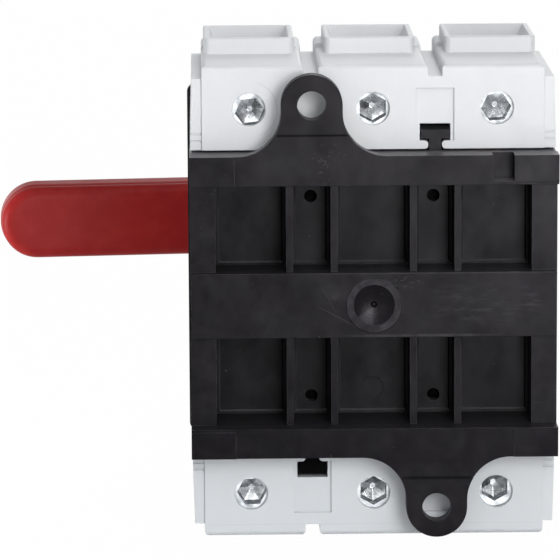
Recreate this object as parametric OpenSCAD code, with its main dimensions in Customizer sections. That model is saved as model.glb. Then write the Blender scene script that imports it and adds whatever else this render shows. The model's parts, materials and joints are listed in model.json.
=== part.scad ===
// Three-pole safety disconnect switch with a long side-pointing handle.
// The mounting plane is y = 0 and the switch stands out from it towards -y. +z is up, and the origin
// lies midway between the two mounting holes. A depth is a distance in front of the mounting plane.

/* [Poles] */
// Distance between the centres of neighbouring poles
pole_pitch = 30; // [29.5:0.5:34]
// Distance from the centre of an outer pole to the side of the base
end_margin = 14.5; // [14.2:0.1:17]
// Width of the chamber that holds one terminal
chamber_w = 20.6; // [20.2:0.1:21.2]

/* [Base] */
// Height of the base over its two rails
base_h = 74; // [72:0.5:80]
// Depth of the face on which the switch body sits
base_d = 20; // [19.2:0.1:22]
// Height of each mounting rail
rail_h = 7.2; // [6:0.1:8.5]
// Height of the band across the middle
band_h = 15.9; // [15.5:0.1:18]
// How far the band lies below the rails
band_sink = 3.8; // [2:0.1:4.5]
// How far the ribs and side frames lie below the rails
rib_sink = 5.8; // [5:0.1:7.5]
// Thickness of the floor under the pockets
floor_t = 3.2; // [2.6:0.1:4]
// Thickness of the upright ribs
rib_t = 1.7; // [1.2:0.1:2.4]
// Width of the narrow pockets between two ribs
narrow_w = 9.1; // [8:0.1:11]
// Width of the frame at each side of the base
side_frame_w = 6.2; // [5:0.1:7.5]
// How much a rail's inner face leans back over the depth of a pocket
rail_draft = 0.7; // [0.2:0.1:1]
// How far the pads stand proud of the rails
pad_proud = 0.4; // [0.2:0.1:0.8]
// Width of each corner pad
corner_pad_w = 10.8; // [8:0.1:12]
// How much shorter than its rail every second corner pad is
pad_short = 0.65; // [0.2:0.05:1]
// Width of the channel beside one corner pad
notch_w = 5.2; // [4:0.1:7]
// Depth of that channel below the mounting plane
notch_d = 5.6; // [3:0.1:5.7]
// Height of the sill below that channel
notch_sill = 0.85; // [0.6:0.05:2]
// Diameter of the screw holes in the narrow pockets
core_hole_d = 3.05; // [2.6:0.05:3.4]
// How far inside the rails those holes lie
core_hole_drop = 5; // [4.4:0.1:5.8]
// Width of the border round the recessed floor of a pocket
floor_margin = 0.6; // [0.4:0.1:1]
// Depth of that recess
floor_recess = 0.35; // [0.2:0.05:0.6]
// Radius of the mark that an ejector pin left in the lower middle pocket
ejector_r = 2.7; // [2:0.1:3.5]

/* [Mounting lugs] */
// Height of each mounting hole above the edge of the base
lug_rise = 12.35; // [11:0.05:14.5]
// Diameter of the mounting holes
lug_hole_d = 7; // [5.5:0.1:8]
// Radius of the rounded end of a lug
lug_r = 7.4; // [6:0.1:8.2]
// Radius of the fillets that carry a lug into its rail
lug_fillet_r = 10.6; // [8:0.1:11.5]
// Thickness of a lug
lug_t = 4.5; // [3.5:0.1:5.5]
// Height above the edge of the base at which a lug's pad ends
lug_step_rise = 5.1; // [4:0.1:6]

/* [Ring mark] */
// Outer radius of the ring on the band
ring_r = 6.8; // [6:0.1:7.6]
// Width of the ring
ring_w = 1.8; // [1.4:0.1:3]
// Height of the ring above the band
ring_h = 0.35; // [0.2:0.05:0.8]
// Depth of the dish inside the ring
dish_sink = 1; // [0.5:0.1:1.6]

/* [Terminal shrouds] */
// Depth of a shroud's back face
shroud_back = 8.4; // [7.5:0.1:9]
// Length of a shroud from its back face to its front face
shroud_len = 50; // [49:0.5:54]
// Height of the shelf beside the blocks, above the edge of the base
shelf_h = 18.2; // [17.5:0.1:20]
// Height of the blocks above the shelf
block_h = 2.8; // [2:0.1:4]
// Height of the shoulders behind the funnels, above the blocks
shoulder_h = 1; // [0.5:0.1:3]
// Length of the shoulders
shoulder_len = 13.5; // [11:0.5:15]
// Width of the notch between two blocks
block_gap = 3.5; // [2.4:0.1:4]
// Width of the strip at each side of a shroud
strip_w = 2.9; // [2:0.1:4]
// How far the side strips are set back
strip_set = 0.6; // [0.3:0.1:1.2]
// How much a side strip leans in over its height
strip_draft = 0.5; // [0:0.1:0.8]
// Wall thickness of the shrouds
shroud_wall = 1.6; // [1.4:0.1:2]
// Rounding of the blocks' edges
block_round = 1.2; // [0.8:0.1:1.8]
// Clearance between a shroud and the base
shroud_gap = 0.5; // [0.3:0.1:0.8]

/* [Funnels] */
// Width of a funnel
funnel_w = 22.3; // [21.5:0.1:23]
// Depth of a funnel's back wall
funnel_back = 31.6; // [30.5:0.1:32]
// Height of a funnel above its block
funnel_h = 4; // [3.5:0.1:6]
// Wall thickness at a funnel's mouth
funnel_wall = 1.35; // [1:0.05:1.8]
// Rounding of a funnel's rim
rim_round = 0.5; // [0.3:0.1:0.8]

/* [Snap hooks] */
// Width of a hook's head
hook_head_w = 6.9; // [6:0.1:7.2]
// Height of a hook's head at its back edge
hook_head_h = 2.2; // [1.8:0.1:2.4]
// How much higher the head gets behind its bevelled edge
hook_bevel = 0.8; // [0.4:0.1:1]
// Width of a hook's stem
hook_stem_w = 3; // [2:0.1:3.2]
// Length of a hook from back to front
hook_len = 7; // [4:0.5:9]
// Width of the recess round a hook
window_w = 9.2; // [8.8:0.1:10]
// Height of that recess
window_h = 12.8; // [11:0.1:13.5]
// Depth of that recess
window_sink = 0.8; // [0.4:0.1:1.2]
// Height of the opening in that recess
opening_h = 4.1; // [3.8:0.1:4.6]
// Depth of that opening
opening_sink = 16; // [10:0.5:20]

/* [Terminals] */
// Height of the terminal screws above the edge of the base
screw_rise = 10.4; // [9.8:0.1:11]
// Diameter of the tool holes over the terminal screws
tool_hole_d = 8.1; // [7.6:0.1:8.6]
// Diameter of a terminal screw's head
screw_head_d = 9.6; // [9.2:0.1:11]
// Height of a terminal screw's head
screw_head_h = 6.5; // [6:0.1:8]
// Diameter of a terminal screw's shank
screw_d = 8; // [6:0.1:8.4]
// Width across the flats of the key socket
socket_af = 6.3; // [5:0.1:6.4]
// Depth of the key socket
socket_depth = 4.6; // [3.5:0.1:5]
// Width of a clamp cage
cage_w = 18.2; // [17.5:0.1:19]
// Height of a clamp cage
cage_h = 14; // [12:0.1:15]
// Side wall thickness of a clamp cage
cage_wall = 2.4; // [2:0.1:2.6]
// Thickness of the threaded back wall of a clamp cage
cage_nut_t = 5.5; // [4.5:0.1:6.5]
// Depth of a clamp cage's back face
cage_back = 31; // [29:0.1:31.4]
// Depth at which the open terminal screws end
screw_tip = 38; // [37.5:0.1:39]

/* [Contacts] */
// Width of a contact bar
bar_w = 12; // [10:0.1:12.6]
// Thickness of a contact bar
bar_t = 3; // [2:0.1:3.2]
// Depth of the back face of a contact bar inside its terminal
bar_outer = 50.5; // [49.5:0.1:51]
// Depth of the back face of a contact bar inside the switch body
bar_inner = 41; // [40.5:0.1:42]
// Height at which a contact bar ends inside the switch body
bar_end_z = 12; // [11:0.1:13.5]
// Thickness of the contact tips
tip_t = 1.2; // [0.8:0.1:1.6]
// Diameter of the contact tips
tip_d = 7; // [5:0.1:8]
// Height of the contact tips above or below the middle
tip_z = 17; // [16.5:0.1:18]
// Width of a contact bridge
bridge_w = 11; // [9:0.1:12]
// Thickness of a contact bridge
bridge_t = 2.5; // [2:0.1:3]
// Travel of the bridges between open and closed
travel = 7; // [6:0.1:7.4]
// Wire diameter of the contact springs
spring_wire = 0.9; // [0.7:0.05:1]
// Number of plates in each arc stack
arc_plates = 4; // [3:1:4]

/* [Switch body] */
// Wall thickness of the switch body
body_wall = 2; // [1.8:0.1:2.4]
// Thickness of the partitions between the poles
partition_t = 3; // [2.4:0.1:3.4]
// Width of the well for the drive
well_w = 46; // [44:0.5:47]
// Depth of the floor of the well
well_floor = 50; // [49.6:0.1:50.4]
// Thickness of the floor of the well
well_floor_t = 2.4; // [2:0.1:2.6]
// Radius of the columns round the assembly screws
column_r = 3.8; // [3.6:0.1:4]
// Radius of the spigots by which the base is held to those columns
spigot_r = 2.6; // [2.4:0.1:2.8]
// Length of those spigots
spigot_h = 3.4; // [2.8:0.1:3.8]
// Distance from the pocket floors to the tips of the assembly screws
screw_end = 3.4; // [2.6:0.1:4]

/* [Drive] */
// Radius of the cam drum
drum_r = 12; // [11.6:0.1:12.2]
// Depth at which the drive pins stand when the switch is off
pin_depth = 55; // [54.6:0.1:55.2]
// Diameter of the drive pins
pin_d = 3; // [2.5:0.1:3.2]
// Distance of the drive posts from the shaft
post_x = 15; // [14.9:0.1:15.1]
// Radius of the drive posts
post_r = 2.5; // [2.2:0.1:2.5]
// Width of the detent block over its flats
detent_af = 19; // [18:0.1:20]
// Thickness of the detent springs
leaf_t = 0.6; // [0.4:0.05:0.8]
// Length of a detent spring
leaf_len = 32.8; // [32:0.2:33.6]
// Height of the contact carrier
carrier_h = 11; // [10:0.5:12]
// Width over the flats of the drive shaft
shaft_af = 8; // [7:0.1:9]
// Radius of the drum's front journal
journal_r = 8; // [7:0.1:8.6]

/* [Front] */
// Width and height of the front plate
plate_w = 90; // [86:0.5:96]
// Thickness of the front plate
plate_t = 3.5; // [2.8:0.1:5]
// Rounding of the front plate's corners
plate_r = 2; // [1.5:0.5:9]
// Thickness of the panel gasket
gasket_t = 1.5; // [1:0.1:3]
// Length of the drive cover in front of the switch body
cover_len = 14.2; // [14:0.1:16]
// Wall thickness of the drive cover
cover_wall = 2.4; // [2:0.1:2.8]
// Radius of the collar on the front plate
collar_r = 27; // [26:0.5:30]
// Height of that collar
collar_h = 4.4; // [3.5:0.1:6]

/* [Handle] */
// Distance from the shaft to the tip of the grip
grip_reach = 96.2; // [80:0.2:120]
// Height of the grip
grip_h = 19.8; // [18:0.1:22]
// Thickness of the grip from back to front
grip_t = 17; // [15:0.1:19]
// Depth of the middle of the grip at the shaft
grip_depth = 148.4; // [138:0.2:155]
// Angle in degrees by which the grip leans back towards its tip
grip_lean = 2.5; // [0:0.5:6]
// Angle in degrees by which the grip droops towards its tip
grip_droop = 0.5; // [0:0.1:1]
// Rounding of the grip's front edges
front_round = 5.5; // [4:0.1:6.5]
// Rounding of the grip's back edges
back_round = 2.4; // [1:0.1:2.8]
// Distance of the parting line from the grip's back face
part_line = 3.2; // [3:0.1:5]
// How far the front half of the grip stands proud of the back half
part_lip = 0.25; // [0.1:0.05:0.4]
// How far the grip reaches past the shaft on its short side
grip_heel = 24; // [20:0.5:30]
// Radius of the hub that turns in the collar
hub_r = 24.4; // [20:0.1:24.6]
// Thickness of the padlock slide
lock_t = 4; // [3:0.1:5]
// Length of the padlock slide
lock_len = 18.6; // [17:0.2:18.8]
// How far the shaft ends short of the middle of the grip
shaft_short = 14; // [12:0.5:16]
// Depth of the seat for the handle's screw
seat_depth = 5; // [4:0.5:6]
// Length of thread that the handle's screw has in the shaft
thread_len = 8; // [6:0.5:10]

/* [Hidden] */
$fn = 48;
round_fn = 32;

black = "#2c2b2e";
light_grey = "#d9dcdf";
red = "#b3201f";
copper = "#b8734a";
zinc = "#c9ccd0";

// Clearances: between fixed pieces, round a sliding piece, round a turning piece, and beside a hook's head
fit = 0.2;
slide_fit = 0.3;
turn_fit = 0.08;
hook_fit = 0.25;
eps = 0.5;

base_w = 2 * (pole_pitch + end_margin);
rail_z = base_h / 2 - rail_h;
floor_sink = base_d - floor_t;
core_hole_z = rail_z - core_hole_drop;
ejector_z = core_hole_z - 1.8;
lug_hole_z = base_h / 2 + lug_rise;
lug_step_z = base_h / 2 + lug_step_rise;
screw_z = base_h / 2 + screw_rise;
// The lugs, hooks, screw columns and narrow pockets all lie on the lines between two poles
seam_x = pole_pitch / 2;
pole_xs = [pole_pitch, 0, -pole_pitch];
seams = [seam_x, -seam_x];
shroud_w = base_w - 2 * fit;
shroud_z = base_h / 2 + shroud_gap;
shroud_front = shroud_back + shroud_len;
shelf_z = base_h / 2 + shelf_h;
block_z = shelf_z + block_h;
shoulder_z = block_z + shoulder_h;
funnel_z = block_z + funnel_h;
funnel_len = shroud_front - funnel_back;
funnel_mid = funnel_back + funnel_len / 2;
chamber_top = block_z - shroud_wall;
// The switch body and the shrouds end on one plane
body_front = shroud_front;
body_z = base_h / 2 - fit;
chamber_z = body_z - body_wall;
bar_top_z = screw_z + cage_h / 2;
cage_front = bar_outer + bar_t + fit + cage_wall;
well_h = 2 * (core_hole_z - column_r - 1);
step_z = well_h / 2 + body_wall + 0.4;
bridge_closed = bar_inner - tip_t - slide_fit - tip_t - bridge_t;
bridge_open = bridge_closed - travel;
carrier_back = base_d + 0.4;
carrier_t = 4.4;
cover_w = 2 * (core_hole_z + column_r + 1.4);
plate_screw_x = cover_w / 2 - 5;
cover_front = body_front + cover_len;
plate_back = cover_front + gasket_t;
plate_front = plate_back + plate_t;
collar_front = plate_front + collar_h;
drum_front = cover_front - cover_wall - 0.4;
drum_back = well_floor + 0.4;
detent_back = pin_depth + travel + 2.2;
hub_back = plate_front + 1.4;
shaft_front = grip_depth - shaft_short;
grip_back = grip_depth - grip_t / 2;
grip_front = grip_depth + grip_t / 2;
lock_depth = (hub_back + 8 + grip_back) / 2 - lock_t / 2;
lock_w = 12;
lock_in_x = -23.4;
hook_rise = 2.4;
// Turn of each hexagon socket, and how far each clamp and its screw have settled in their chamber
line_turns = [6, 30, 4];
load_turns = [30, 30, 2];
plays = [[-0.3, -0.8], [0, -0.1], [0.15, -0.1]];

// An outline in x and z, extruded between two depths
module slab(d0, d1) {
    translate([0, -d0, 0]) rotate([90, 0, 0]) linear_extrude(d1 - d0) children();
}

// An outline in y and z, extruded between two values of x
module along_x(x0, x1) {
    translate([x0, 0, 0]) rotate([90, 0, 90]) linear_extrude(x1 - x0) children();
}

// A block from its ranges in x, in depth and in z
module block(x, d, z) {
    translate([x[0], -d[1], z[0]]) cube([x[1] - x[0], d[1] - d[0], z[1] - z[0]]);
}

// A round rod along the depth
module rod(d0, d1, r, fn = $fn) {
    translate([0, -d0, 0]) rotate([90, 0, 0]) cylinder(r = r, h = d1 - d0, $fn = fn);
}

// A hexagonal rod along the depth, from its width across flats
module hex_rod(d0, d1, af) {
    translate([0, -d0, 0]) rotate([90, 0, 0]) cylinder(d = af / cos(30), h = d1 - d0, $fn = 6);
}

// A centred rectangle with round corners
module round_rect(w, h, r) {
    square([w - 2 * r, h], center = true);
    square([w, h - 2 * r], center = true);
    for (x = [-1, 1], z = [-1, 1])
        translate([x * (w / 2 - r), z * (h / 2 - r)]) circle(r = r);
}

// A rectangle from its ranges, with its two upper corners rounded
module round_top(x, z, r) {
    translate([x[0], z[0]]) square([x[1] - x[0], z[1] - z[0] - r]);
    translate([x[0] + r, z[0]]) square([x[1] - x[0] - 2 * r, z[1] - z[0]]);
    for (cx = [x[0] + r, x[1] - r])
        translate([cx, z[1] - r]) circle(r = r, $fn = round_fn);
}

// The space between two crossed slopes that narrows a mouth to a throat
module fillet_corner(r) {
    difference() {
        square(r);
        translate([r, r]) circle(r = r, $fn = 64);
    }
}

// Repeats a shape made for the upper, line side on the lower, load side
module both_ends() {
    children();
    rotate([0, 180, 0]) children();
}

// Base

module lug_outline() {
    translate([seam_x, lug_hole_z]) circle(r = lug_r, $fn = 64);
    translate([seam_x - lug_r, base_h / 2 - 1]) square([2 * lug_r, lug_hole_z - base_h / 2 + 1]);
    translate([seam_x + lug_r, base_h / 2]) fillet_corner(lug_fillet_r);
    translate([seam_x - lug_r, base_h / 2]) mirror([1, 0]) fillet_corner(lug_fillet_r);
}

module lug() {
    slab(pad_proud, lug_t) lug_outline();
    slab(0, lug_t) intersection() {
        lug_outline();
        translate([seam_x - base_w / 2, lug_step_z]) square([base_w, lug_hole_z]);
    }
}

module snap_hook() {
    depths = [shroud_back + 0.4, shroud_back + 0.4 + hook_len];
    hook_z = shroud_z + hook_rise;
    edge_z = hook_z + hook_head_h;
    stem = [-seam_x - hook_stem_w / 2, -seam_x + hook_stem_w / 2];
    block(stem, depths, [base_h / 2 - 1, hook_z + 0.5]);
    along_x(-seam_x - hook_head_w / 2, -seam_x + hook_head_w / 2)
        polygon([
            [-depths[1], hook_z], [-depths[0], hook_z], [-depths[0], edge_z],
            [-depths[0] - 1.4, edge_z + hook_bevel], [-depths[1], edge_z + hook_bevel]
        ]);
}

// One row of pockets, seen along x: its rail side leans back below the ribs
module pocket_profile() {
    polygon([
        [1, band_h / 2], [-floor_sink, band_h / 2], [-floor_sink, rail_z - rail_draft],
        [-rib_sink, rail_z], [1, rail_z]
    ]);
}

// A pocket with a shallow recess in its floor, which slopes in on all four sides
module pocket(x0, x1) {
    low = -floor_sink - floor_recess;
    z0 = band_h / 2 + floor_margin;
    z1 = rail_z - rail_draft - floor_margin;
    along_x(x0, x1) pocket_profile();
    intersection() {
        along_x(x0, x1)
            polygon([
                [0.1 - floor_sink, z0 - 0.1], [low, z0 + floor_recess], [low, z1 - floor_recess],
                [0.1 - floor_sink, z1 + 0.1]
            ]);
        linear_extrude(base_h / 2)
            polygon([
                [x0 + floor_margin - 0.1, 0.1 - floor_sink], [x0 + floor_margin + floor_recess, low],
                [x1 - floor_margin - floor_recess, low], [x1 - floor_margin + 0.1, 0.1 - floor_sink]
            ]);
    }
}

module pocket_row() {
    inner = seam_x - narrow_w / 2 - rib_t;
    outer = seam_x + narrow_w / 2 + rib_t;
    pocket(-inner, inner);
    for (s = seams) pocket(s - narrow_w / 2, s + narrow_w / 2);
    pocket(outer, base_w / 2 - side_frame_w);
    pocket(side_frame_w - base_w / 2, -outer);
}

module ring_mark() {
    rotate([-90, 0, 0]) rotate_extrude($fn = 64)
        polygon([[0, -1], [ring_r, -1], [ring_r, ring_h - 0.15], [ring_r - 0.15, ring_h], [0, ring_h]]);
}

// A hollow dish inside the ring, with a dimple in its middle
module ring_dish() {
    inner = ring_r - ring_w;
    dimple_r = 0.75;
    dimple = [[0, -dish_sink * 1.5], [dimple_r, -dish_sink * 1.5]];
    bowl = [
        for (i = [0:5])
            let (r = dimple_r + (inner - dimple_r) * i / 5)
                [r, -dish_sink * (1.1 - pow(r / inner, 2))]
    ];
    rotate([-90, 0, 0]) rotate_extrude($fn = 64)
        polygon(concat(dimple, bowl, [[inner, ring_h + 1], [0, ring_h + 1]]));
}

module base() {
    pad_x = base_w / 2 - corner_pad_w;
    color(black) difference() {
        union() {
            slab(rib_sink, base_d) round_rect(base_w, base_h, 0.8);
            both_ends() {
                block([-base_w / 2, base_w / 2], [pad_proud, rib_sink + eps], [rail_z, base_h / 2]);
                for (s = [0, 1])
                    mirror([s, 0, 0])
                        block([pad_x, base_w / 2], [0, pad_proud + eps],
                              [rail_z + s * pad_short, base_h / 2]);
                lug();
                snap_hook();
            }
            block([-base_w / 2 + fit, base_w / 2 - fit], [band_sink, rib_sink + eps],
                  [-band_h / 2, band_h / 2]);
            translate([0, -band_sink, 0]) ring_mark();
            screw_places() rod(base_d - eps, base_d + spigot_h, spigot_r);
        }
        both_ends() {
            pocket_row();
            translate([seam_x, 0, lug_hole_z]) rod(-1, lug_t + 1, lug_hole_d / 2);
        }
        screw_places() rod(floor_sink - 1, base_d + spigot_h + 1, core_hole_d / 2, round_fn);
        translate([0, -band_sink, 0]) ring_dish();
        translate([0, 0, -ejector_z]) rod(floor_sink, floor_sink + floor_recess + 0.15, ejector_r);
        block([-pad_x, notch_w - pad_x], [-1, notch_d], [rail_z + notch_sill, base_h / 2 + 1]);
    }
}

// Terminal shrouds

function block_range(x) = [
    x > 0 ? seam_x + block_gap / 2 : (x < 0 ? strip_w - shroud_w / 2 : block_gap / 2 - seam_x),
    x > 0 ? shroud_w / 2 - strip_w : (x < 0 ? -seam_x - block_gap / 2 : seam_x - block_gap / 2)
];

// The side view of a block, with its back edge rounded
module block_profile() {
    translate([-shroud_front, shroud_z]) square([shroud_len - block_round, block_z - shroud_z]);
    translate([-shroud_front, shroud_z]) square([shroud_len, block_z - shroud_z - block_round]);
    translate([-shroud_back - block_round, block_z - block_round]) circle(r = block_round, $fn = round_fn);
}

// A four-sided funnel throat that narrows from the mouth to the cage
module throat() {
    mouth_x = funnel_w / 2 - funnel_wall;
    neck_x = cage_w / 2 - cage_wall;
    neck = [cage_back + cage_nut_t, bar_outer + bar_t];
    mouth = [funnel_back + funnel_wall, funnel_back + funnel_len - funnel_wall];
    low = chamber_top - eps;
    intersection() {
        slab(mouth[0] - 4, mouth[1] + 4)
            polygon([[-neck_x, low], [neck_x, low], [mouth_x, funnel_z], [mouth_x, funnel_z + 1],
                     [-mouth_x, funnel_z + 1], [-mouth_x, funnel_z]]);
        along_x(-mouth_x - 1, mouth_x + 1)
            polygon([[-neck[1], low], [-neck[0], low], [-mouth[0], funnel_z], [-mouth[0], funnel_z + 1],
                     [-mouth[1], funnel_z + 1], [-mouth[1], funnel_z]]);
    }
}

// The recess round a hook, with an opening for its head and a slot for its stem
module hook_window() {
    low = shroud_z + hook_rise - 0.4;
    opening_w = hook_head_w + 2 * hook_fit;
    stem_gap = hook_stem_w / 2 + slide_fit / 2;
    block([-window_w / 2, window_w / 2], [shroud_back - 1, shroud_back + window_sink],
          [low, low + window_h]);
    block([-opening_w / 2, opening_w / 2], [shroud_back, shroud_back + opening_sink],
          [low, low + opening_h]);
    slab(shroud_back - 1, shroud_back + hook_len + 1) {
        translate([-stem_gap, shroud_z - 1]) square([2 * stem_gap, low - shroud_z + 2]);
        for (s = [0, 1]) mirror([s, 0]) {
            translate([stem_gap, shroud_z]) fillet_corner(0.9);
            translate([stem_gap, low]) mirror([0, 1]) fillet_corner(0.9);
        }
    }
}

module shroud_blocks() {
    for (x = pole_xs) {
        range = block_range(x);
        intersection() {
            slab(shroud_back, shroud_front) round_top(range, [shroud_z, block_z], block_round);
            along_x(range[0], range[1]) block_profile();
        }
        slab(shroud_front - shoulder_len, shroud_front)
            round_top(range, [shelf_z, shoulder_z], 1.2);
        translate([x - sign(x) * 0.3, 0, 0]) funnel_block();
    }
}

// The outside of a funnel, rounded at its corners and along its rim
module funnel_block() {
    low = block_z - 1;
    intersection() {
        translate([0, -funnel_mid, low]) linear_extrude(funnel_h + 1)
            round_rect(funnel_w, funnel_len, 1.6);
        slab(funnel_back, shroud_front)
            round_top([-funnel_w / 2, funnel_w / 2], [low, funnel_z], rim_round);
        along_x(-funnel_w / 2, funnel_w / 2)
            round_top([-shroud_front, -funnel_back], [low, funnel_z], rim_round);
    }
}

module shroud() {
    color(light_grey) difference() {
        union() {
            block([strip_w - shroud_w / 2, shroud_w / 2 - strip_w], [shroud_back, shroud_front],
                  [shroud_z, shelf_z]);
            slab(shroud_back + strip_set, shroud_front)
                polygon([
                    [-shroud_w / 2, shroud_z], [shroud_w / 2, shroud_z],
                    [shroud_w / 2 - strip_draft, shelf_z - 0.3], [strip_draft - shroud_w / 2, shelf_z - 0.3]
                ]);
            shroud_blocks();
        }
        for (x = pole_xs) {
            block([x - chamber_w / 2, x + chamber_w / 2],
                  [shroud_back + shroud_wall, shroud_front - shroud_wall], [shroud_z - 1, chamber_top]);
            translate([x - sign(x) * 0.3, 0, 0]) throat();
            translate([x, 0, screw_z])
                rod(shroud_back - 1, shroud_back + shroud_wall + 1, tool_hole_d / 2);
        }
        for (x = seams) translate([x, 0, 0]) hook_window();
        for (s = [0, 1], z = [1.9, 3.6])
            mirror([s, 0, 0])
                block([shroud_w / 2 - strip_w, shroud_w], [shroud_back - 1, shroud_back + strip_set + 0.35],
                      [shroud_z + z, shroud_z + z + 0.5]);
    }
}

module line_shroud() {
    shroud();
}

module load_shroud() {
    rotate([0, 180, 0]) shroud();
}

// Terminals

module clamp_cage(i) {
    color(zinc) translate([pole_xs[i] + plays[i][0], 0, plays[i][1]]) difference() {
        block([-cage_w / 2, cage_w / 2], [cage_back, cage_front],
              [screw_z - cage_h / 2, screw_z + cage_h / 2]);
        block([cage_wall - cage_w / 2, cage_w / 2 - cage_wall],
              [cage_back + cage_nut_t, cage_front - cage_wall], [screw_z - cage_h, screw_z + cage_h]);
        translate([0, 0, screw_z]) rod(cage_back - 1, cage_back + cage_nut_t + 1, screw_d / 2 + turn_fit);
    }
}

// Terminal screw with a hexagon socket that ends in a shallow six-sided point
module terminal_screw(turn) {
    head_back = shroud_back + shroud_wall + fit;
    difference() {
        union() {
            rod(head_back, head_back + screw_head_h, screw_head_d / 2);
            rod(head_back + screw_head_h - eps, screw_tip, screw_d / 2);
        }
        rotate([0, turn, 0]) {
            hex_rod(head_back - 1, head_back + socket_depth, socket_af);
            translate([0, -head_back - socket_depth, 0]) rotate([90, 0, 0])
                cylinder(d1 = socket_af / cos(30), d2 = 1.4, h = 1.2, $fn = 6);
        }
    }
}

module terminal_screws(turns) {
    color(zinc) for (i = [0:2])
        translate([pole_xs[i] + plays[i][0], 0, screw_z + plays[i][1]]) terminal_screw(turns[i]);
}

module line_screws() {
    terminal_screws(line_turns);
}

module load_screws() {
    rotate([0, 180, 0]) terminal_screws(load_turns);
}

// Contacts

// The side view of a contact bar: flat in the body, stepped out to the clamp
module bar_profile() {
    bend_z = step_z + 2;
    out_z = chamber_z - 1.5;
    polygon([
        [-bar_inner, bar_end_z], [-bar_inner, bend_z], [-bar_outer, out_z], [-bar_outer, bar_top_z],
        [-bar_outer - bar_t, bar_top_z], [-bar_outer - bar_t, out_z - 1], [-bar_inner - bar_t, bend_z - 1],
        [-bar_inner - bar_t, bar_end_z]
    ]);
}

module fixed_contact(i) {
    color(copper) translate([pole_xs[i], 0, 0]) {
        along_x(-bar_w / 2, bar_w / 2) bar_profile();
        translate([0, 0, tip_z]) rod(bar_inner - tip_t, bar_inner + 0.2, tip_d / 2, round_fn);
    }
}

module contact_bridge(i) {
    bridge_z = tip_z + tip_d / 2 + 0.6;
    color(copper) translate([pole_xs[i], 0, 0]) {
        slab(bridge_open, bridge_open + bridge_t) round_rect(bridge_w, 2 * bridge_z, 1.5);
        for (s = [-1, 1])
            translate([0, 0, s * tip_z])
                rod(bridge_open + bridge_t - 0.2, bridge_open + bridge_t + tip_t, tip_d / 2, round_fn);
    }
}

// One carrier for the three bridges, with a window for each and two posts to the drum
module contact_carrier() {
    window_x = bridge_w / 2 + 1.4;
    stop_back = bridge_open + bridge_t + 0.2;
    stop_front = stop_back + 1.8;
    reach = pole_pitch + window_x + 2.4;
    color("#3f4347") difference() {
        union() {
            block([-reach, reach], [carrier_back, carrier_back + carrier_t], [-carrier_h / 2, carrier_h / 2]);
            for (x = pole_xs) {
                for (s = [-1, 1])
                    block([x + s * (window_x + 0.9) - 0.9, x + s * (window_x + 0.9) + 0.9],
                          [carrier_back + carrier_t - eps, stop_front], [-4, 4]);
                block([x - window_x - eps, x + window_x + eps], [stop_back, stop_front], [-4, 4]);
            }
            for (s = [-1, 1])
                translate([s * post_x, 0, 0]) rod(carrier_back, pin_depth + pin_d / 2 + 1, post_r);
        }
        for (s = [-1, 1])
            translate([0, -pin_depth, 0]) rotate([0, s * 90, 0])
                translate([0, 0, post_x - post_r - 1])
                    cylinder(d = pin_d, h = 2 * post_r + 2, $fn = round_fn);
    }
}

module drive_pins() {
    pin_in = drum_r - 1.9;
    color(zinc) for (s = [-1, 1])
        translate([0, -pin_depth, 0]) rotate([0, s * 90, 0])
            translate([0, 0, pin_in])
                cylinder(d = pin_d, h = post_x + post_r - 0.2 - pin_in, $fn = round_fn);
}

// A coil spring along the depth: one ring of points for each step of its helix
module coil_spring(d0, d1, r, wire, turns) {
    steps = turns * 14;
    sides = 6;
    rise = (d1 - d0 - wire) / steps;
    points = [
        for (i = [0:steps], j = [0:sides - 1])
            let (a = 360 * i / 14, b = 360 * j / sides, rr = r + wire / 2 * cos(b))
                [rr * cos(a), -(d0 + wire / 2 + rise * i + wire / 2 * sin(b)), rr * sin(a)]
    ];
    faces = concat(
        [[for (j = [0:sides - 1]) j]],
        [for (i = [0:steps - 1], j = [0:sides - 1])
            let (k = (j + 1) % sides, a = i * sides, b = (i + 1) * sides) [a + j, b + j, b + k, a + k]],
        [[for (j = [sides - 1:-1:0]) steps * sides + j]]
    );
    polyhedron(points, faces);
}

module contact_springs() {
    color(zinc) for (x = pole_xs)
        translate([x, 0, 0])
            coil_spring(carrier_back + carrier_t + 0.1, bridge_open - 0.1, 3.2, spring_wire, 3);
}

// A stack of steel plates, each notched towards the contact gap
module arc_stack() {
    plate_x = min((pole_pitch - partition_t) / 2, shroud_w / 2 - body_wall - pole_pitch) - slide_fit;
    low = tip_z + tip_d / 2 + 1.6;
    high = chamber_z - 0.2;
    room = bar_inner - base_d - 6;
    for (i = [0:arc_plates - 1]) {
        d = base_d + 3 + i * room / arc_plates;
        slab(d, d + 1) difference() {
            translate([-plate_x, low]) square([2 * plate_x, high - low]);
            for (x = [-seam_x, seam_x]) translate([x, core_hole_z]) circle(r = column_r + slide_fit);
            polygon([
                [-bridge_w / 2 - 1, low - 1], [bridge_w / 2 + 1, low - 1], [0.8, low + 6], [-0.8, low + 6]
            ]);
        }
    }
}

module line_arc_plates() {
    color("#8d9094") for (x = pole_xs) translate([x, 0, 0]) arc_stack();
}

module load_arc_plates() {
    rotate([0, 180, 0]) line_arc_plates();
}

// Switch body and drive

// The side view of the space inside the body, stepped round the well
module body_space_profile() {
    polygon([
        [-base_d + 1, -chamber_z], [-base_d + 1, chamber_z], [-body_front + body_wall, chamber_z],
        [-body_front + body_wall, step_z], [-well_floor + well_floor_t, step_z],
        [-well_floor + well_floor_t, -step_z], [-body_front + body_wall, -step_z],
        [-body_front + body_wall, -chamber_z]
    ]);
}

module screw_places() {
    for (x = seams, z = [-core_hole_z, core_hole_z]) translate([x, 0, z]) children();
}

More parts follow.
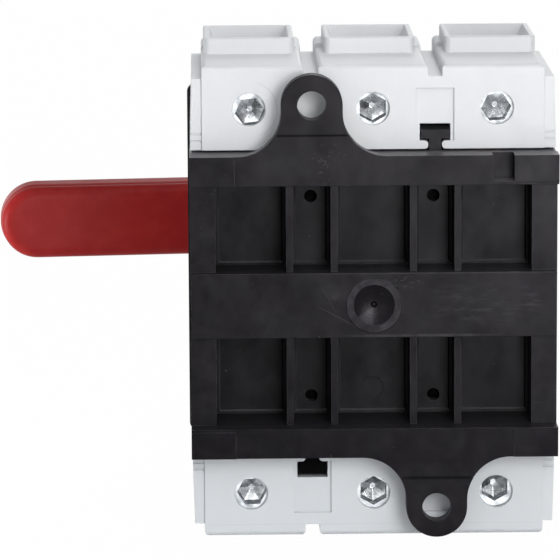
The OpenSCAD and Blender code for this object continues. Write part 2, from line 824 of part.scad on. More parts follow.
module switch_body() {
    cell = (pole_pitch - partition_t) / 2;
    end_x = shroud_w / 2 - body_wall;
    color(black) difference() {
        union() {
            difference() {
                slab(base_d, body_front) round_rect(shroud_w, 2 * body_z, 0.8);
                along_x(-cell, cell) body_space_profile();
                along_x(seam_x + partition_t / 2, end_x) body_space_profile();
                along_x(-end_x, -seam_x - partition_t / 2) body_space_profile();
            }
            screw_places() rod(base_d, body_front - 1, column_r);
        }
        // The corridor in which the carrier travels
        block([-end_x, end_x], [base_d - 1, well_floor - well_floor_t],
              [-carrier_h / 2 - 0.5, carrier_h / 2 + 0.5]);
        for (s = [-1, 1])
            translate([s * post_x, 0, 0])
                rod(well_floor - well_floor_t - 1, well_floor + 1, post_r + slide_fit);
        slab(well_floor, body_front + 1) square([well_w, well_h], center = true);
        screw_places() {
            rod(base_d - 1, body_front + 1, 1.6, round_fn);
            rod(base_d - 1, base_d + spigot_h + fit, spigot_r + turn_fit);
        }
        for (x = pole_xs, s = [0, 180])
            rotate([0, s, 0])
                block([x - bar_w / 2 - fit, x + bar_w / 2 + fit], [bar_outer - fit, bar_outer + bar_t + fit],
                      [chamber_z - 1, body_z + 1]);
    }
}

// The drum turns its two grooves past the drive pins and so moves the carrier in and out
module cam_groove() {
    steps = 16;
    for (i = [0:steps])
        translate([0, -pin_depth - travel * i / steps, 0]) rotate([0, 90 + 90 * i / steps, 0])
            translate([0, 0, drum_r - 2.1]) cylinder(r = pin_d / 2 + slide_fit, h = 4, $fn = 24);
}

module cam_drum() {
    color("#e8e6e0") difference() {
        union() {
            rod(drum_back, detent_back, drum_r, 64);
            intersection() {
                slab(detent_back - eps, drum_front) square(detent_af, center = true);
                rod(detent_back - 1, drum_front + 1, drum_r, 64);
            }
            rod(drum_front - eps, plate_back + 2.6, journal_r);
        }
        both_ends() cam_groove();
        slab(drum_back - 1, plate_back + 4) square(shaft_af + 2 * turn_fit, center = true);
    }
}

module detent_springs() {
    color(zinc) both_ends()
        block([-leaf_len / 2, leaf_len / 2], [detent_back + 1, drum_front - 0.6],
              [detent_af / 2 + slide_fit, detent_af / 2 + slide_fit + leaf_t]);
}

module drive_shaft() {
    color(zinc) difference() {
        slab(drum_back + 0.4, shaft_front) square(shaft_af, center = true);
        rod(shaft_front - thread_len - 2, shaft_front + 1, 2.1, round_fn);
    }
}

module plate_screw_places() {
    for (x = [-1, 1], z = [-1, 1]) translate([x * plate_screw_x, 0, z * plate_screw_x]) children();
}

module drive_cover() {
    inner = cover_w - 2 * cover_wall;
    leaf_z = detent_af / 2 + slide_fit - 0.15;
    color(black) difference() {
        union() {
            difference() {
                slab(body_front, cover_front) round_rect(cover_w, cover_w, 3);
                slab(body_front - 1, cover_front - cover_wall) round_rect(inner, inner, 2);
            }
            screw_places() rod(body_front, cover_front - 1, column_r);
            plate_screw_places() rod(body_front, cover_front - 1, 3.6);
            for (x = [0, 1], z = [0, 1])
                mirror([x, 0, 0]) mirror([0, 0, z])
                    block([leaf_len / 2 - 2.2, leaf_len / 2 + 1.2], [detent_back + 0.6, cover_front - 1],
                          [leaf_z - 1.2, leaf_z + leaf_t + 1.5]);
        }
        rod(cover_front - cover_wall - 1, cover_front + 1, journal_r + turn_fit);
        screw_places() {
            rod(body_front - 1, cover_front + 1, 1.6, round_fn);
            rod(cover_front - 2, cover_front + 1, 3, round_fn);
        }
        plate_screw_places() rod(body_front + 2, cover_front + 1, 1.9, round_fn);
        both_ends()
            block([-leaf_len / 2 - fit, leaf_len / 2 + fit], [detent_back, drum_front - 0.4],
                  [leaf_z, leaf_z + leaf_t + 0.3]);
    }
}

module assembly_screws() {
    color("#55585c") screw_places() {
        rod(floor_sink + screw_end, cover_front - 1, 1.45, round_fn);
        difference() {
            rod(cover_front - 1.9, cover_front - 0.1, 2.8, round_fn);
            block([-3, 3], [cover_front - 0.9, cover_front], [-0.4, 0.4]);
        }
    }
}

// Front

module panel_gasket() {
    color("#1c1c1e") slab(cover_front, plate_back) difference() {
        round_rect(cover_w + 6, cover_w + 6, 4);
        circle(r = journal_r + 3);
        for (x = [-1, 1], z = [-1, 1])
            translate([x * plate_screw_x, z * plate_screw_x]) circle(r = 2.4, $fn = round_fn);
    }
}

module front_plate() {
    color(black) difference() {
        union() {
            slab(plate_back, plate_front - 0.8) round_rect(plate_w, plate_w, plate_r);
            slab(plate_back, plate_front) round_rect(plate_w - 1.6, plate_w - 1.6, plate_r - 0.8);
            rod(plate_front - eps, collar_front, collar_r, 64);
        }
        rod(plate_front + 1, collar_front + 1, hub_r + slide_fit, 64);
        rod(plate_back - 1, plate_front + 2, journal_r + turn_fit);
        rod(plate_back + 1, plate_front + 2, journal_r + 2.2);
        plate_screw_places() {
            rod(plate_back - 1, plate_front + 1, 2.2, round_fn);
            translate([0, -plate_front + 2.2, 0]) rotate([90, 0, 0])
                cylinder(r1 = 2.2, r2 = 4.5, h = 2.3, $fn = round_fn);
        }
    }
}

module shaft_seal() {
    color("#1c1c1e") translate([0, -plate_back - 2, 0]) rotate([90, 0, 0])
        rotate_extrude() translate([journal_r + 1.15, 0]) circle(r = 0.95, $fn = 16);
}

module plate_screws() {
    color(zinc) plate_screw_places()
        difference() {
            union() {
                rod(body_front + 3, plate_front - 1.9, 1.85, round_fn);
                translate([0, -plate_front + 2, 0]) rotate([90, 0, 0])
                    cylinder(r1 = 1.85, r2 = 3.9, h = 1.9, $fn = round_fn);
            }
            for (a = [0, 90])
                rotate([0, a, 0]) block([-2, 2], [plate_front - 1, plate_front + 1], [-0.4, 0.4]);
        }
}

// Handle

// The grip's section: a front half and a slightly lower back half, with a groove between them
module grip_section() {
    groove_w = 0.6;
    back_h = grip_h - 2 * part_lip;
    split = grip_t / 2 - part_line;
    intersection() {
        round_rect(grip_t, grip_h, front_round);
        translate([-grip_t / 2, -grip_h / 2]) square([grip_t / 2 + split - groove_w, grip_h]);
    }
    translate([split - groove_w - eps, eps - back_h / 2])
        square([groove_w + 2 * eps, back_h - 2 * eps]);
    intersection() {
        round_rect(grip_t, back_h, back_round);
        translate([split, -back_h / 2]) square([part_line, back_h]);
    }
}

// The grip is one section run straight and turned round at each end
module grip_bar() {
    tip_x = grip_reach - grip_h / 2;
    heel_x = grip_h / 2 - grip_heel;
    translate([0, -grip_depth, 0]) rotate([0, grip_droop, grip_lean]) {
        along_x(heel_x, tip_x) grip_section();
        for (x = [heel_x, tip_x]) translate([x, 0, 0]) rotate([-90, 0, 0]) rotate_extrude($fn = 64)
            rotate(90) intersection() {
                grip_section();
                translate([-grip_t, -grip_h]) square([2 * grip_t, grip_h]);
            }
    }
}

module handle_neck() {
    hull() {
        rod(hub_back + 7, hub_back + 8, hub_r - 3, round_fn);
        slab(hub_back + 18, hub_back + 19) round_rect(40, 19, 6);
    }
    hull() {
        slab(hub_back + 18, hub_back + 19) round_rect(40, 19, 6);
        slab(grip_depth - 1, grip_depth) round_rect(2 * grip_heel, grip_h - 3, 6);
    }
}

module handle() {
    color(red) difference() {
        union() {
            rod(hub_back, hub_back + 8, hub_r, 64);
            handle_neck();
            grip_bar();
        }
        slab(hub_back - 1, shaft_front + 0.3) square(shaft_af + 2 * turn_fit, center = true);
        rod(shaft_front, grip_front + 1, 2.7, round_fn);
        rod(grip_front - seat_depth, grip_front + 2, 5, round_fn);
        block([-60, lock_in_x + lock_len + 1], [lock_depth - slide_fit, lock_depth + lock_t + slide_fit],
              [-lock_w / 2 - slide_fit, lock_w / 2 + slide_fit]);
    }
}

module handle_screw() {
    color(zinc) difference() {
        union() {
            rod(shaft_front - thread_len, grip_front - seat_depth + 0.3, 2, round_fn);
            rod(grip_front - seat_depth + 0.1, grip_front - seat_depth + 3, 4.3, round_fn);
        }
        hex_rod(grip_front - seat_depth + 1, grip_front, 3);
    }
}

module padlock_slide() {
    color("#1f1f21") difference() {
        block([lock_in_x, lock_in_x + lock_len], [lock_depth, lock_depth + lock_t],
              [-lock_w / 2, lock_w / 2]);
        translate([lock_in_x + 6, 0, 0]) rod(lock_depth - 1, lock_depth + lock_t + 1, 3);
    }
}

base();
line_shroud();
load_shroud();
switch_body();
drive_cover();
panel_gasket();
front_plate();
handle();
handle_screw();
padlock_slide();
drive_shaft();
cam_drum();
detent_springs();
shaft_seal();
contact_carrier();
drive_pins();
contact_springs();
contact_bridge(0);  // contact_bridge_1
contact_bridge(1);  // contact_bridge_2
contact_bridge(2);  // contact_bridge_3
fixed_contact(0);  // line_contact_1
fixed_contact(1);  // line_contact_2
fixed_contact(2);  // line_contact_3
rotate([0, 180, 0]) fixed_contact(2);  // load_contact_1
rotate([0, 180, 0]) fixed_contact(1);  // load_contact_2
rotate([0, 180, 0]) fixed_contact(0);  // load_contact_3
clamp_cage(0);  // line_clamp_1
clamp_cage(1);  // line_clamp_2
clamp_cage(2);  // line_clamp_3
rotate([0, 180, 0]) clamp_cage(2);  // load_clamp_1
rotate([0, 180, 0]) clamp_cage(1);  // load_clamp_2
rotate([0, 180, 0]) clamp_cage(0);  // load_clamp_3
line_screws();
load_screws();
line_arc_plates();
load_arc_plates();
assembly_screws();
plate_screws();
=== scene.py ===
"""Looks of the safety disconnect switch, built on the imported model."""

import json
import math

import bpy
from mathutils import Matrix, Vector


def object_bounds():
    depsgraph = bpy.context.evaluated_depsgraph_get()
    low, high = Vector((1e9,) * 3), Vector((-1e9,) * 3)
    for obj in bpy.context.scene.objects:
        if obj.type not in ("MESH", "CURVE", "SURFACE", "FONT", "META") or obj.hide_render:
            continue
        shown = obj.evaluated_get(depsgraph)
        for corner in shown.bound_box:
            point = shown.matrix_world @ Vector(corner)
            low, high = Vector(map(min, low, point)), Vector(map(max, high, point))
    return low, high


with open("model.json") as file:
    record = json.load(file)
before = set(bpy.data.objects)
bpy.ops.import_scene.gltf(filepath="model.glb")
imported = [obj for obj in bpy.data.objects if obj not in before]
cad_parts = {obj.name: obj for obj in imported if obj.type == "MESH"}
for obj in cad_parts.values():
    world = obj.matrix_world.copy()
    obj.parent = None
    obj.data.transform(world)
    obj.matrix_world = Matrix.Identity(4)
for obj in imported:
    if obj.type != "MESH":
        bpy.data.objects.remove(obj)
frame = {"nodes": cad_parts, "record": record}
cad_low, cad_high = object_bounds()
NODES = frame["nodes"]


def mm(*values):
    return Vector(values) / 1000


# Shader graphs


class Graph:
    """One material's node tree, with short calls for the nodes used here."""

    def __init__(self, name):
        self.material = bpy.data.materials.new(name)
        self.material.use_nodes = True
        self.tree = self.material.node_tree
        self.tree.nodes.clear()
        self.output = self.tree.nodes.new("ShaderNodeOutputMaterial")
        self.coordinates = self.tree.nodes.new("ShaderNodeTexCoord").outputs["Object"]
        self.place = self.node("ShaderNodeSeparateXYZ", {0: self.coordinates}).outputs
        self.own_normal = self.tree.nodes.new("ShaderNodeNewGeometry").outputs["Normal"]

    def node(self, kind, inputs=None, **settings):
        made = self.tree.nodes.new(kind)
        for key, value in settings.items():
            setattr(made, key, value)
        for key, value in (inputs or {}).items():
            if isinstance(value, bpy.types.NodeSocket):
                self.tree.links.new(value, made.inputs[key])
            else:
                made.inputs[key].default_value = value
        return made

    def math(self, operation, a, b):
        return self.node("ShaderNodeMath", {0: a, 1: b}, operation=operation).outputs[0]

    def vector(self, operation, a, b=(0, 0, 0)):
        return self.node("ShaderNodeVectorMath", {0: a, 1: b}, operation=operation).outputs

    def noise(self, size_mm, detail=2.0, roughness=0.5, stretch=(1, 1, 1), offset=(0, 0, 0)):
        """Noise whose features measure about size_mm, stretched along the axes."""
        place = self.node(
            "ShaderNodeMapping", {"Vector": self.coordinates, "Scale": stretch, "Location": offset}
        ).outputs[0]
        return self.node(
            "ShaderNodeTexNoise",
            {"Vector": place, "Scale": 1000 / size_mm, "Detail": detail, "Roughness": roughness},
        ).outputs["Fac"]

    def ramp(self, value, low, high, to_low=0.0, to_high=1.0):
        """value from low to high, mapped to to_low to to_high and held at both ends."""
        return self.node(
            "ShaderNodeMapRange", {0: value, 1: low, 2: high, 3: to_low, 4: to_high}, clamp=True
        ).outputs[0]

    def mix(self, factor, a, b):
        made = self.node("ShaderNodeMix", {0: factor}, data_type="RGBA")
        for socket, value in ((made.inputs[6], a), (made.inputs[7], b)):
            if isinstance(value, bpy.types.NodeSocket):
                self.tree.links.new(value, socket)
            else:
                socket.default_value = (*value, 1)
        return made.outputs[2]

    def product(self, *masks):
        total = masks[0]
        for mask in masks[1:]:
            total = self.math("MULTIPLY", total, mask)
        return total

    def strongest(self, *masks):
        total = masks[0]
        for mask in masks[1:]:
            total = self.math("MAXIMUM", total, mask)
        return total

    def dimmed(self, value, mask, share):
        """value, lowered to a share of itself where the mask is 1."""
        return self.math("MULTIPLY", value, self.ramp(mask, 0, 1, 1, share))

    def across(self, x, z):
        """Offset in mm from the line through (x, z) along Y, as a vector without its Y part."""
        offset = self.vector("SUBTRACT", self.coordinates, mm(x, 0, z))[0]
        return self.vector("MULTIPLY", offset, (1000, 0, 1000))[0]

    def ring(self, x, z, inner, outer, soft=0.15):
        """1 between two radii in mm about the line through (x, z) along Y."""
        radius = self.vector("LENGTH", self.across(x, z))["Value"]
        outside = self.ramp(radius, outer + soft, outer - soft)
        return self.product(self.ramp(radius, inner - soft, inner + soft), outside)

    def wedge(self, slope):
        """1 below and left of the middle seen from the back, between straight down and the given slope."""
        part = self.node("ShaderNodeSeparateXYZ", {0: self.across(0, 0)}).outputs
        drop = self.math("ADD", part["Z"], self.math("MULTIPLY", part["X"], slope))
        return self.product(self.ramp(part["X"], 0, 0.4), self.ramp(drop, 0, -0.6))

    def box(self, offset, half_x, half_z, soft_x, soft_z):
        """1 where an offset lies inside half_x and half_z, fading out over the soft widths within."""
        part = self.node("ShaderNodeSeparateXYZ", {0: self.vector("ABSOLUTE", offset)[0]}).outputs
        in_x = self.ramp(part["X"], half_x, half_x - soft_x)
        return self.product(in_x, self.ramp(part["Z"], half_z, half_z - soft_z))

    def patch(self, x, z, wide, high, soft=2.0):
        """1 inside a rectangle seen along Y, fading out over soft mm at its border."""
        return self.box(self.across(x, z), wide / 2, high / 2, soft, soft)

    def stroke(self, x, z, long, wide, turn=0, soft=0.15):
        """1 on a line through (x, z) seen along Y, so many degrees from level, fading at its ends."""
        turned = self.node(
            "ShaderNodeVectorRotate", {"Vector": self.across(x, z), "Angle": math.radians(turn)},
            rotation_type="Y_AXIS",
        ).outputs[0]
        return self.box(turned, long / 2, wide / 2, long / 4, soft)

    def facing(self, normal, direction, low, high):
        """0 to 1 as a normal's part along a direction of the object goes from low to high."""
        turned = self.node(
            "ShaderNodeVectorTransform", {0: normal},
            vector_type="NORMAL", convert_from="WORLD", convert_to="OBJECT",
        ).outputs[0]
        return self.ramp(self.vector("DOT_PRODUCT", turned, direction)["Value"], low, high)

    def rounded(self, radius_mm, samples=6):
        """The normal of a surface whose edges are rounded off."""
        return self.node("ShaderNodeBevel", {"Radius": radius_mm / 1000}, samples=samples).outputs[0]

    def edge(self, normal):
        """1 on an edge, where a rounded normal departs from the surface's own."""
        return self.ramp(self.vector("DOT_PRODUCT", normal, self.own_normal)["Value"], 0.995, 0.80)

    def bump(self, height, distance_mm, normal, strength=1.0):
        return self.node(
            "ShaderNodeBump",
            {"Height": height, "Distance": distance_mm / 1000, "Strength": strength, "Normal": normal},
        ).outputs[0]

    def surface(self, **inputs):
        """The principled shader, from its sockets' names with underscores for spaces."""
        shader = self.node(
            "ShaderNodeBsdfPrincipled", {key.replace("_", " "): value for key, value in inputs.items()}
        )
        self.tree.links.new(shader.outputs[0], self.output.inputs[0])
        return self.material


def moulded_plastic(name, colour, pale_tone, roughness, grain=0.02, rounding=0.18, spread=0.12, wear_and_highlight=0.5,
                    dust=0.25, specular=0.5, tint=(1, 1, 1), marks=None):
    """Injection-moulded plastic with a fine spark grain and slow flow marks. Edges that do not face down are
    paler, as wear and painted highlight. Edges that face down get painted shade as weaker reflection.
    """
    g = Graph(name)
    wide = g.rounded(0.3)
    edge = g.edge(wide)
    lit = g.facing(wide, (0, 0, 1), -0.4, -0.1)
    flow = g.noise(14, 3, 0.55, stretch=(1, 1, 0.35))
    fine = g.noise(0.35, 3, 0.6)
    blotch = g.noise(4, 4, 0.6)
    sheen = g.noise(9, 4, 0.65, stretch=(1, 1, 0.7), offset=(0.3, 0.1, 0.7))
    dark = tuple(c * (1 - spread) for c in colour)
    light = tuple(min(1.0, c * (1 + spread)) for c in colour)
    body = g.mix(g.ramp(flow, 0.3, 0.7), dark, light)
    body = g.mix(g.math("MULTIPLY", g.ramp(blotch, 0.45, 0.75), dust), body, pale_tone)
    # Paler edges except where they face down: wear together with a painted highlight where light catches
    # them.
    worn_and_highlit_edges = g.product(edge, lit, g.ramp(g.noise(1.6, 4, 0.7), 0.3, 0.55), wear_and_highlight)
    body = g.mix(worn_and_highlit_edges, body, pale_tone)
    gloss = g.ramp(sheen, 0.3, 0.7, specular * (1 - 3 * spread), specular * (1 + 3 * spread))
    gloss = g.math("MULTIPLY", gloss, g.ramp(blotch, 0.3, 0.7, 1 - spread, 1 + spread))
    # Painted shade: edges that face down keep only a fifth of their reflection.
    gloss = g.dimmed(gloss, g.product(edge, g.math("SUBTRACT", 1, lit)), 0.2)
    if marks:
        body, gloss = marks(g, body, gloss, pale_tone)
    rough = g.ramp(blotch, 0.3, 0.7, roughness - 0.05, roughness + 0.06)
    normal = g.bump(flow, 0.05, g.rounded(rounding, 12), 0.5)
    normal = g.bump(fine, grain, normal)
    return g.surface(Base_Color=body, Roughness=rough, Normal=normal, Specular_IOR_Level=gloss,
                     Specular_Tint=(*tint, 1))


# Places on the base, in mm from the middle of its back

LUG_HOLE = (15, 49.35)
LUG_STEP = (15, 42.1)
LOWER_HOOK = (15.2, -41.5)
BAND_TOP = 8
BAND_FOOT = -7.5
LID_Z = 38
NOTCH_SILL = (-31, 30.6)
LOW_RAIL_Z = -34

# Depths along Y in metres

POCKETS_FROM = -0.011
POCKET_FLOOR = -0.0167
SOCKET_MOUTH = -0.0105
SOCKET_FLOOR = -0.0185

# Tones of the marks

# Painted highlight for the base's upward faces and floor rims
PAINTED_HIGHLIGHT = (0.17, 0.165, 0.175)
COOL_BLACK = (0.0054, 0.0053, 0.0062)
SHADE = (0.003, 0.003, 0.003)
# Painted shade for the lower shroud
PAINTED_LOW_SHADE = (0.675, 0.70, 0.725)
LINE_GREY = (0.35, 0.36, 0.38)
# Painted shade for the screws' sockets
PAINTED_SOCKET_SHADE = (0.16, 0.17, 0.18)


def base_painted_light(g, body):
    """Painted highlight: paler upward faces, most on the lid and the notch's sill, and paler rims of the
    recessed floors where they face up and to the -X side.
    """
    up = g.facing(g.own_normal, (0, 0, 1), 0.6, 0.95)
    lid = g.patch(0, LID_Z, 96, 6, 1)
    notch_sill = g.patch(*NOTCH_SILL, 7, 3, 0.5)
    # Painted highlight on the upward faces, strongest on the lid and the notch's sill.
    painted_top_light = g.product(up, g.ramp(g.strongest(lid, notch_sill), 0, 1, 0.05, 0.6))
    on_floor = g.ramp(g.place["Y"], POCKET_FLOOR, POCKET_FLOOR - 0.0001)
    # Painted highlight on the floor rims that face up and to the -X side.
    floor_rim_highlight = g.product(on_floor, g.facing(g.own_normal, (-0.6, 0, 0.8), 0.3, 0.5), 0.35)
    return g.mix(g.strongest(painted_top_light, floor_rim_highlight), body, PAINTED_HIGHLIGHT)


def base_scuffs(g, body, pale):
    """The pale tones of the ring mark, with a painted highlight in the lower left of its dish, and the
    scuffs, specks and scratches around it, with painted highlight along the band's edges.
    """
    specks = g.ramp(g.noise(1.1, 5, 0.75), 0.56, 0.72)
    worn_through = g.ramp(g.noise(3.2, 3, 0.6, stretch=(0.5, 1, 1), offset=(0, 0, 0.2)), 0.40, 0.62)
    streaks = g.ramp(g.noise(0.8, 5, 0.75, stretch=(0.14, 1, 1)), 0.46, 0.72)
    strokes = g.ramp(g.noise(0.5, 4, 0.75, stretch=(0.4, 1, 1), offset=(0.2, 0, 0.4)), 0.54, 0.68)
    stray = g.ramp(g.noise(0.9, 2, 0.5, offset=(0.5, 0.2, 0.1)), 0.74, 0.78)
    scratches = g.strongest(g.stroke(9, -2.7, 13, 0.5, 29), g.stroke(11, 1.5, 9, 0.4, 62))
    rubbed_patch = g.product(g.patch(9.5, 2, 9, 9, 4), worn_through, 0.22)
    # Painted highlight along the band's top and foot edges, broken up unevenly.
    band_top = g.product(g.stroke(-15, BAND_TOP, 80, 1.1, soft=0.3), 0.5)
    band_foot = g.stroke(-12, BAND_FOOT, 40, 0.9, soft=0.3)
    uneven = g.ramp(g.noise(3, 4, 0.7), 0.35, 0.6, 0.3, 1)
    band_edge_highlight = g.product(g.strongest(band_foot, band_top), uneven, 0.6)
    ring_face = g.product(g.ring(0, 0, 5.1, 6.7), g.ramp(g.noise(2.5, 3), 0.3, 0.6), 0.38)
    # Painted highlight on the lower left of the ring mark's hollow dish, which faces the light.
    dish_painted_highlight = g.product(g.ring(0, 0, 0.7, 4.9), g.wedge(0.65), 0.35)
    band_scuffs = g.product(g.patch(-28, 0, 29, 12, 4), streaks, worn_through, 0.6)
    ring_nicks = g.product(g.patch(-7, 5.5, 12, 4.5, 2), strokes, 0.8)
    lug_specks = g.product(g.patch(12.5, 35, 12, 14, 5), specks, 0.6)
    # Wear from handling, together with the band's painted edge highlight.
    wear_and_edge_highlight = g.strongest(g.product(scratches, 0.2), rubbed_patch, band_edge_highlight)
    for mark in (ring_face, dish_painted_highlight, band_scuffs, ring_nicks, lug_specks, g.product(stray, 0.8), wear_and_edge_highlight):
        body = g.mix(mark, body, pale)
    return body


def base_shade(g):
    """Painted shade: the dark of the ring mark's dimple, the lower hook's head in the base's shadow, the
    lugs' downward steps and the upper lug's rim.
    """
    dimple = g.ring(0, 0, 0.3, 0.8, 0.1)
    hook_head = g.patch(*LOWER_HOOK, 9, 7, 0.3)
    x, z = LUG_STEP
    lug_steps = g.strongest(g.patch(-x, -z, 17, 0.9, 0.3), g.patch(x, z, 17, 0.9, 0.3))
    above_hole = g.patch(x, 54, 18, 10.5, 1)
    lug_rim = g.product(g.ring(*LUG_HOLE, 7.2, 8.2), above_hole, 0.8)
    return g.strongest(dimple, hook_head, g.product(lug_steps, 0.7), lug_rim)


def base_marks(g, body, gloss, pale):
    """The base's cooler black in its pockets, its painted highlights, dust specks, scuffs and painted-shade
    dark lines, and painted shade as weaker reflection on the low rail and in the deep pockets.
    """
    deep = g.ramp(g.place["Y"], POCKETS_FROM + 0.003, POCKETS_FROM)
    cool_patches = g.ramp(g.noise(7, 3, 0.6, offset=(0.1, 0, 0.9)), 0.45, 0.65)
    body = g.mix(g.strongest(deep, cool_patches), body, COOL_BLACK)
    body = base_scuffs(g, base_painted_light(g, body), pale)
    shade = base_shade(g)
    body = g.mix(shade, body, SHADE)
    low_rail = g.patch(0, LOW_RAIL_Z, 130, 10, 1)
    # Painted shade: the deep pockets, the low rail and the dark lines reflect less.
    for mask, share in ((deep, 0.88), (low_rail, 0.78), (shade, 0.1)):
        gloss = g.dimmed(gloss, mask, share)
    return body, gloss


def shroud_marks(g, body, gloss, pale):
    """Painted shade: the lower shroud darker and bluer, darkening towards one side, and a fine painted shade
    line where the lower blocks' bottom edges round off; also a faint grey arc beside the upper-left tool
    hole.
    """
    # Painted shade: the lower shroud darker and bluer than the upper.
    body = g.mix(g.ramp(g.place["Z"], -0.01, -0.03), body, PAINTED_LOW_SHADE)
    # Painted shade, darkening towards -X.
    body = g.mix(g.ramp(g.place["X"], 0.012, -0.03, 0, 0.08), body, (0, 0, 0))
    # Painted shade line where the lower blocks' bottom edges begin to round off.
    line = g.product(g.patch(0, -55.2, 96, 0.5, 0.2), 0.12)
    circle = g.product(g.ring(30, 47.4, 6.65, 6.95, 0.12), g.patch(23, 47.4, 14, 16, 3), 0.3)
    return g.mix(g.strongest(line, circle), body, LINE_GREY), gloss


def grip_painted_shade(g, body, gloss, pale):
    """Painted shade: the red handle's upward faces shine less than the rest."""
    return body, g.dimmed(gloss, g.facing(g.own_normal, (0, 0, 1), 0.6, 0.95), 0.2)


def plated_metal(name, colour, dull, roughness, uneven=0.02, crease=0.0, marks=None):
    """Plated or drawn metal with fine scratches, dull patches, bright edges and dirt in the creases."""
    g = Graph(name)
    bevel = g.rounded(0.2)
    edge = g.edge(bevel)
    patch = g.noise(2.2, 4, 0.6)
    hair = g.noise(0.12, 2, 0.5, stretch=(1, 1, 9))
    body = g.mix(g.ramp(patch, 0.42, 0.68), colour, dull)
    body = g.mix(g.math("MULTIPLY", edge, 0.5), body, tuple(min(1.0, c * 1.15) for c in colour))
    dirt = g.product(edge, g.ramp(g.noise(0.9, 3, 0.6), 0.45, 0.6), crease)
    body = g.mix(dirt, body, (0.04, 0.04, 0.045))
    rough = g.ramp(patch, 0.35, 0.7, roughness - 0.06, roughness + 0.12)
    if marks:
        body, rough = marks(g, body, rough, dull)
    normal = g.bump(hair, 0.004, bevel)
    normal = g.bump(patch, uneven, normal, 0.4)
    return g.surface(Base_Color=body, Roughness=rough, Normal=normal, Metallic=1.0)


def socket_marks(g, body, rough, dull):
    """The terminal screws' dull rings, and painted shade that deepens into their sockets, broken up by
    noise.
    """
    above_floor = g.ramp(g.place["Y"], SOCKET_FLOOR, SOCKET_FLOOR + 0.001)
    in_hole = g.product(g.ramp(g.place["Y"], SOCKET_MOUTH, SOCKET_MOUTH - 0.003), above_floor)
    ring = g.product(g.facing(g.own_normal, (0, 1, 0), 0.97, 0.99), above_floor)
    body = g.mix(g.product(ring, 0.5), body, dull)
    # Painted shade in the sockets, deepening from the mouth inwards.
    socket_shade = g.product(in_hole, g.ramp(g.noise(1.3, 4, 0.7), 0.35, 0.65, 0.0, 0.6))
    return g.mix(socket_shade, body, PAINTED_SOCKET_SHADE), g.math("ADD", rough, g.product(ring, 0.5))


MATERIALS = {
    "black_plastic": moulded_plastic("base_black", (0.0062, 0.0048, 0.0066), (0.070, 0.066, 0.073), 0.34,
                                     rounding=0.08, wear_and_highlight=0.8, dust=0.03, specular=0.068,
                                     tint=(1, 0.98, 1.03), marks=base_marks),
    "grey_plastic": moulded_plastic("shroud_grey", (0.70, 0.71, 0.725), (0.80, 0.80, 0.81), 0.5,
                                    spread=0.02, wear_and_highlight=0.3, marks=shroud_marks),
    "body_plastic": moulded_plastic("body_black", (0.010, 0.0095, 0.0105), (0.05, 0.049, 0.052), 0.42,
                                    spread=0.08, dust=0.12, specular=0.2),
    "seal_rubber": moulded_plastic("seal_rubber", (0.012, 0.012, 0.012), (0.05, 0.05, 0.05), 0.7),
    "red_plastic": moulded_plastic("handle_red", (0.285, 0.016, 0.016), (0.42, 0.04, 0.03), 0.33,
                                   grain=0.008, rounding=2.3, spread=0.06, wear_and_highlight=0.3, specular=0.08,
                                   marks=grip_painted_shade),
    "drum_plastic": moulded_plastic("drum_nylon", (0.72, 0.70, 0.64), (0.8, 0.78, 0.72), 0.5, spread=0.03),
    "carrier_plastic": moulded_plastic("carrier_grey", (0.07, 0.075, 0.08), (0.18, 0.18, 0.19), 0.55),
    "slide_plastic": moulded_plastic("slide_black", (0.015, 0.015, 0.016), (0.08, 0.08, 0.08), 0.4),
    "zinc_steel": plated_metal("zinc_plated", (0.80, 0.82, 0.84), (0.36, 0.38, 0.40), 0.17,
                               uneven=0.06, crease=0.8, marks=socket_marks),
    "spring_steel": plated_metal("spring_steel", (0.66, 0.66, 0.67), (0.45, 0.45, 0.46), 0.25),
    "plain_steel": plated_metal("rolled_steel", (0.42, 0.42, 0.43), (0.28, 0.27, 0.26), 0.4),
    "dark_steel": plated_metal("blackened_steel", (0.0012, 0.0012, 0.0012), (0.0008, 0.0008, 0.0008), 0.5),
    "copper": plated_metal("contact_copper", (0.80, 0.42, 0.28), (0.50, 0.24, 0.15), 0.32),
}

for entry in frame["record"]["subparts"]:
    for slot in NODES[entry["node"]].material_slots:
        slot.material = MATERIALS[entry["material_slot"]]


# Camera, at the photograph's place: behind the switch, a little above it

camera_data = bpy.data.cameras.new("camera")
camera = bpy.data.objects.new("camera", camera_data)
bpy.context.scene.collection.objects.link(camera)
camera_data.sensor_width = 36
camera_data.lens = 293.44
camera_data.clip_start = 0.05
camera_data.clip_end = 20
camera.location = mm(42.776, 1083.214, 197.479)
tilt, roll, heading = 80.0329, 0.3134, 178.8912
camera.rotation_euler = [math.radians(angle) for angle in (tilt, roll, heading)]
bpy.context.scene.camera = camera


# Stage and light

FLOOR_GAP = 0.0002

def white_when_seen(tree, output, plain, white, share=1.0):
    """Gives output the white shader for rays from the camera, metal and glass, and plain for all others."""
    light_path = tree.nodes.new("ShaderNodeLightPath")
    total = light_path.outputs["Is Camera Ray"]
    for name in ("Is Glossy Ray", "Is Transmission Ray"):
        larger = tree.nodes.new("ShaderNodeMath")
        larger.operation = "MAXIMUM"
        tree.links.new(total, larger.inputs[0])
        tree.links.new(light_path.outputs[name], larger.inputs[1])
        total = larger.outputs[0]
    seen = tree.nodes.new("ShaderNodeMath")
    seen.operation = "MULTIPLY"
    seen.inputs[1].default_value = share
    mix = tree.nodes.new("ShaderNodeMixShader")
    tree.links.new(total, seen.inputs[0])
    tree.links.new(seen.outputs[0], mix.inputs[0])
    tree.links.new(plain.outputs[0], mix.inputs[1])
    tree.links.new(white.outputs[0], mix.inputs[2])
    tree.links.new(mix.outputs[0], output.inputs[0])


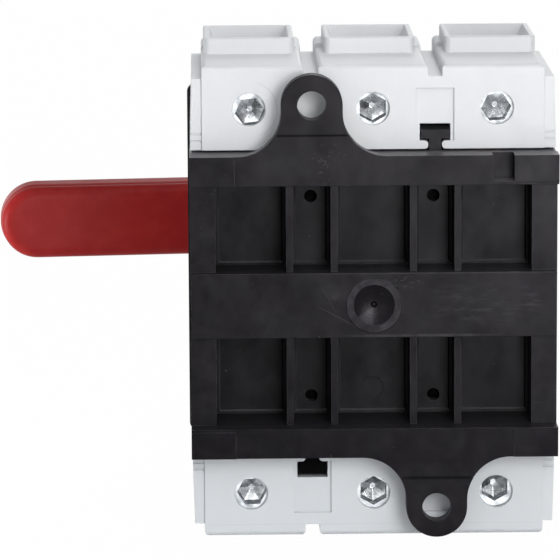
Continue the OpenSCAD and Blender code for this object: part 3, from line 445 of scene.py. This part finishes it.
def plain_world():
    """An even, faintly blue fill from all round, which the camera sees as white."""
    world = bpy.data.worlds.new("studio")
    bpy.context.scene.world = world
    world.use_nodes = True
    tree = world.node_tree
    tree.nodes.clear()
    fill = tree.nodes.new("ShaderNodeBackground")
    fill.inputs["Color"].default_value = (0.94, 0.97, 1, 1)
    fill.inputs["Strength"].default_value = 0.38
    white = tree.nodes.new("ShaderNodeBackground")
    white.inputs["Color"].default_value = (1, 1, 1, 1)
    white.inputs["Strength"].default_value = 1
    white_when_seen(tree, tree.nodes.new("ShaderNodeOutputWorld"), fill, white)


def pale_floor(height):
    """A wide pale floor that the camera sees as white, with the object's soft shadow left on it."""
    mesh = bpy.data.meshes.new("floor")
    reach = 6
    corners = [(-reach, -reach), (reach, -reach), (reach, reach), (-reach, reach)]
    mesh.from_pydata([(x, y, height) for x, y in corners], [], [(0, 1, 2, 3)])
    floor = bpy.data.objects.new("floor", mesh)
    bpy.context.scene.collection.objects.link(floor)
    material = bpy.data.materials.new("pale_floor")
    material.use_nodes = True
    tree = material.node_tree
    tree.nodes.clear()
    matt = tree.nodes.new("ShaderNodeBsdfDiffuse")
    matt.inputs["Color"].default_value = (0.85, 0.85, 0.85, 1)
    white = tree.nodes.new("ShaderNodeEmission")
    white.inputs["Strength"].default_value = 1
    white_when_seen(tree, tree.nodes.new("ShaderNodeOutputMaterial"), matt, white, share=0.985)
    mesh.materials.append(material)


def softbox(name, place, target, size, power, card=False):
    """A rectangular lamp, or a card of light that shows only as a reflection."""
    data = bpy.data.lights.new(name, "AREA")
    data.shape = "RECTANGLE"
    data.size, data.size_y = size
    data.energy = power
    lamp = bpy.data.objects.new(name, data)
    bpy.context.scene.collection.objects.link(lamp)
    lamp.location = Vector(place)
    aim = Vector(target) - lamp.location
    lamp.rotation_mode = "QUATERNION"
    lamp.rotation_quaternion = aim.to_track_quat("-Z", "Y")
    lamp.visible_camera = False
    lamp.visible_diffuse = not card


plain_world()
pale_floor(cad_low.z - FLOOR_GAP)
softbox("key", (-0.14, 0.45, 0.14), (0, 0, 0), (0.15, 0.2), 1.12)
softbox("sheen", (-0.15, 0.74, 0.03), (0, 0, 0), (0.2, 0.2), 4.4, card=True)
softbox("high", (0.10, 0.52, 0.45), (0, 0, 0), (0.35, 0.35), 0.5)
softbox("top", (-0.3, 0.3, 1.1), (0, 0, 0), (0.9, 0.6), 2.5)
softbox("side", (0.175, -0.105, -0.01), (0.08, -0.14, 0), (0.05, 0.05), 0.1)
softbox("front", (-0.4, -1.3, 0.7), (0, -0.1, 0), (0.9, 0.9), 4)

bpy.context.scene.view_settings.view_transform = "Standard"
